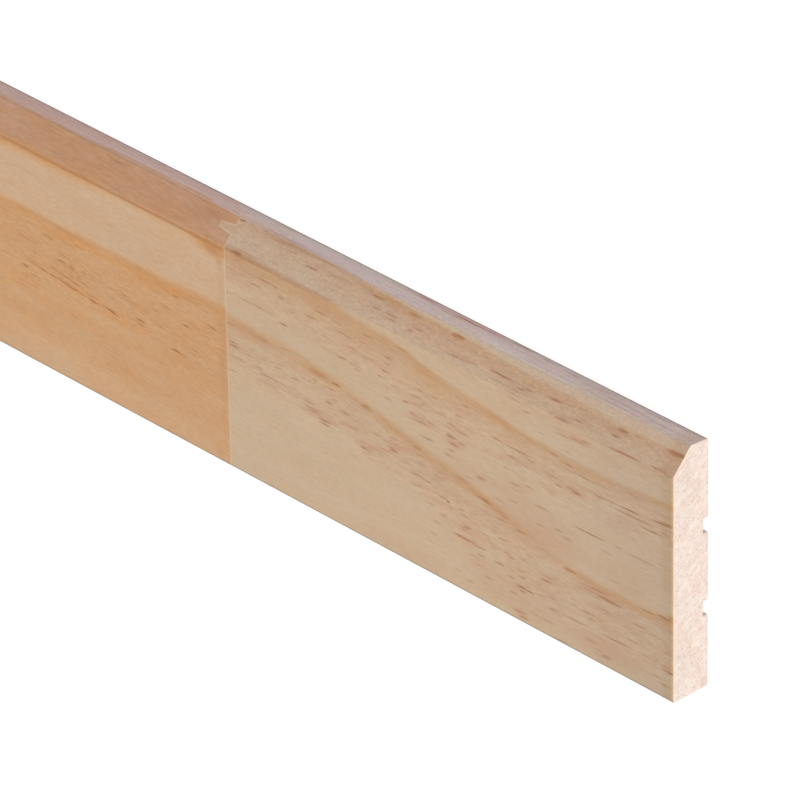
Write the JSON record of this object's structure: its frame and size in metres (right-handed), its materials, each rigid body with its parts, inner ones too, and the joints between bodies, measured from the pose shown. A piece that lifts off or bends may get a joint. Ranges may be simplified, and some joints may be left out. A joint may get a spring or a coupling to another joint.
{
  "type": "skirting board length",
  "caption": "Straight length of timber skirting with a splayed top edge and grooved back, glued up end to end from finger-jointed blocks.",
  "frame": {"origin": "under the middle of the board's back, which lies on the floor", "axes": "+X along the board to the end nearest the camera, +Y up the board's height to the splayed top edge, +Z out of the face"},
  "size_m": [2.4, 0.066, 0.011],
  "materials": {
    "pale_pine": "planed, unfinished",
    "golden_pine": "planed, unfinished",
    "rosy_pine": "planed, unfinished"
  },
  "bodies": {
    "root": {"block_1": "pale_pine", "block_2": "golden_pine", "block_3": "rosy_pine", "block_4": "pale_pine", "block_5": "golden_pine", "block_6": "rosy_pine", "block_7": "pale_pine"}
  },
  "joints": []
}
